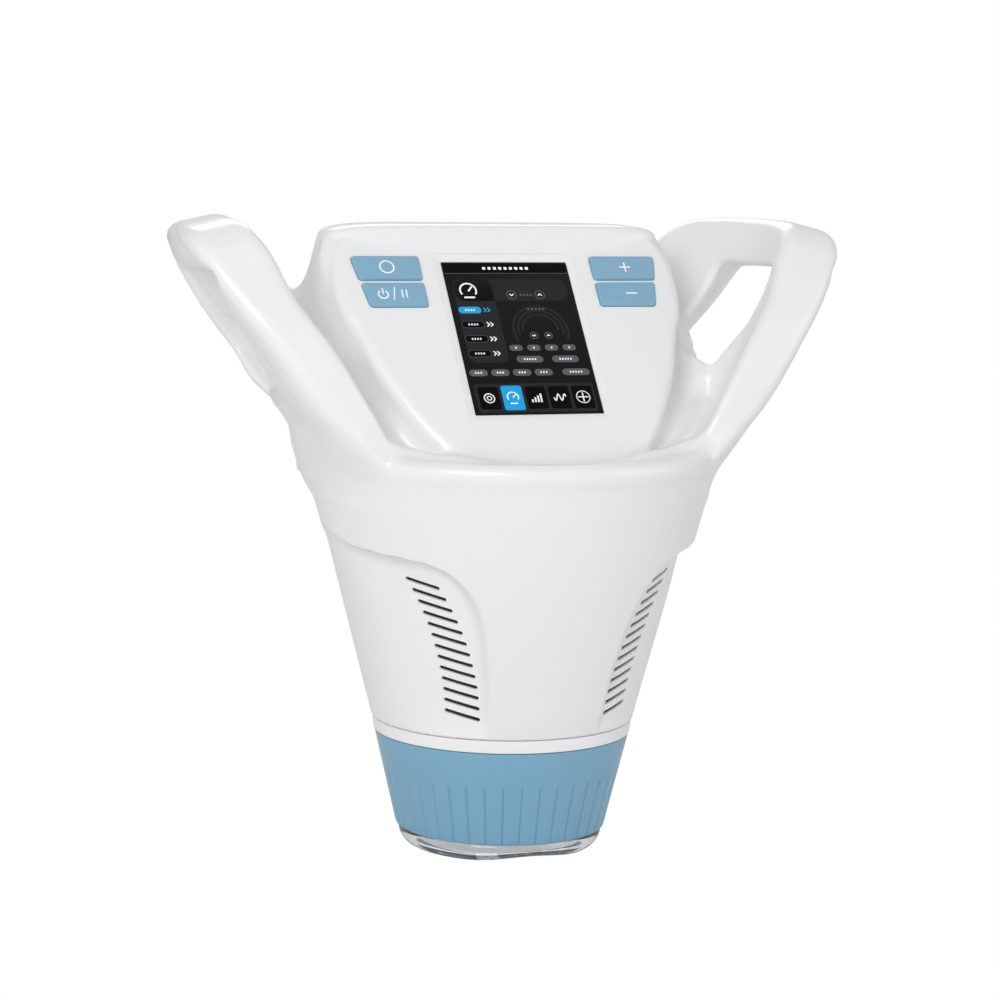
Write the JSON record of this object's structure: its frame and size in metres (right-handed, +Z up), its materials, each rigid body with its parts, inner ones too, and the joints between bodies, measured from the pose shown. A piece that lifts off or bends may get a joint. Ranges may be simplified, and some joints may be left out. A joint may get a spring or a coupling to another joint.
{
  "type": "rf vacuum slimming machine",
  "caption": "Handled vacuum and radio-frequency slimming applicator with tilted screen panel, push keys, vented cone housing, ribbed twist collar and clear cup with rolling electrodes.",
  "frame": {"origin": "centre of the cup's rim plane, where the handpiece stands, on the axis of the cup, collar and housing", "axes": "+X to the user's right along the line through both handles, +Y to the back, away from the tilted panel, +Z up"},
  "size_m": [0.2784, 0.1698, 0.2555],
  "materials": {
    "white_shell": "gloss",
    "blue_grip": "satin",
    "blue_button": "satin",
    "clear_cup": "clear polished",
    "cover_glass": "polished black",
    "display_module": "satin",
    "circuit_board": "solder mask",
    "dark_plastic": "fine texture",
    "grey_plastic": "fine texture",
    "steel": "brushed",
    "chrome": "polished",
    "aluminium": "satin",
    "brass": "polished",
    "rubber": "matt"
  },
  "bodies": {
    "housing": {"main_housing": "white_shell", "top_cover": "white_shell", "cover_screw_left_1": "steel", "cover_screw_left_2": "steel", "cover_screw_right_1": "steel", "cover_screw_right_2": "steel", "screen_glass": "cover_glass", "lcd_module": "display_module", "control_board": "circuit_board", "tact_switch_1": "dark_plastic", "tact_switch_2": "dark_plastic", "tact_switch_3": "dark_plastic", "tact_switch_4": "dark_plastic", "board_screw_1": "steel", "board_screw_2": "steel", "board_screw_3": "steel", "board_screw_4": "steel", "trim_ring": "white_shell", "bayonet_ring": "dark_plastic", "chamber_bulkhead": "grey_plastic", "chamber_gasket": "rubber", "light_board": "circuit_board", "light_lens": "clear_cup", "vacuum_port": "grey_plastic", "vacuum_hose": "rubber", "shaft_bearing": "steel", "brush_block": "dark_plastic", "gearbox": "steel", "drive_motor": "steel", "fan_bracket": "steel", "fan_frame": "dark_plastic", "power_board": "circuit_board", "heat_sink": "aluminium", "cable_inlet": "grey_plastic", "inlet_nut": "dark_plastic", "contact_insert": "dark_plastic"},
    "treatment_head": {"collar": "blue_grip", "vacuum_cup": "clear_cup", "cup_seal": "rubber", "cup_lock_ring": "dark_plastic"},
    "rotor": {"drive_shaft": "steel", "roller_carrier": "dark_plastic", "hub_cap": "chrome", "slip_ring": "brass", "roller_axle_1": "steel", "roller_axle_2": "steel", "roller_axle_3": "steel", "roller_axle_4": "steel"},
    "fan": {"fan_impeller": "dark_plastic"},
    "roller_1": {"rf_roller_1": "chrome"},
    "roller_2": {"rf_roller_2": "chrome"},
    "roller_3": {"rf_roller_3": "chrome"},
    "roller_4": {"rf_roller_4": "chrome"},
    "standby_button_cap": {"standby_button": "blue_button"},
    "start_pause_button_cap": {"start_pause_button": "blue_button"},
    "plus_button_cap": {"plus_button": "blue_button"},
    "minus_button_cap": {"minus_button": "blue_button"}
  },
  "joints": [
    {"name": "head_twist", "type": "hinge", "parent": "housing", "child": "treatment_head", "pos_m": [0, 0, 0.05], "axis": [0, 0, 1], "range_deg": [0, 30]},
    {"name": "rotor_spin", "type": "hinge", "parent": "housing", "child": "rotor", "pos_m": [0, 0, 0.022], "axis": [0, 0, 1], "continuous": true},
    {"name": "roller_1_spin", "type": "hinge", "parent": "rotor", "child": "roller_1", "pos_m": [0.0152, -0.0152, 0.017], "axis": [0.7071, -0.7071, 0], "continuous": true},
    {"name": "roller_2_spin", "type": "hinge", "parent": "rotor", "child": "roller_2", "pos_m": [0.0152, 0.0152, 0.017], "axis": [0.7071, 0.7071, 0], "continuous": true},
    {"name": "roller_3_spin", "type": "hinge", "parent": "rotor", "child": "roller_3", "pos_m": [-0.0152, 0.0152, 0.017], "axis": [-0.7071, 0.7071, 0], "continuous": true},
    {"name": "roller_4_spin", "type": "hinge", "parent": "rotor", "child": "roller_4", "pos_m": [-0.0152, -0.0152, 0.017], "axis": [-0.7071, -0.7071, 0], "continuous": true},
    {"name": "fan_spin", "type": "hinge", "parent": "housing", "child": "fan", "pos_m": [0, 0, 0.1074], "axis": [0, 0, 1], "continuous": true},
    {"name": "standby_press", "type": "slide", "parent": "housing", "child": "standby_button_cap", "axis": [0, 0.7734, -0.6339], "range_m": [0, 0.0008], "stiffness_N_per_m": 900, "springref_m": -0.001},
    {"name": "start_pause_press", "type": "slide", "parent": "housing", "child": "start_pause_button_cap", "axis": [0, 0.7734, -0.6339], "range_m": [0, 0.0008], "stiffness_N_per_m": 900, "springref_m": -0.001},
    {"name": "plus_press", "type": "slide", "parent": "housing", "child": "plus_button_cap", "axis": [0, 0.7734, -0.6339], "range_m": [0, 0.0008], "stiffness_N_per_m": 900, "springref_m": -0.001},
    {"name": "minus_press", "type": "slide", "parent": "housing", "child": "minus_button_cap", "axis": [0, 0.7734, -0.6339], "range_m": [0, 0.0008], "stiffness_N_per_m": 900, "springref_m": -0.001}
  ]
}
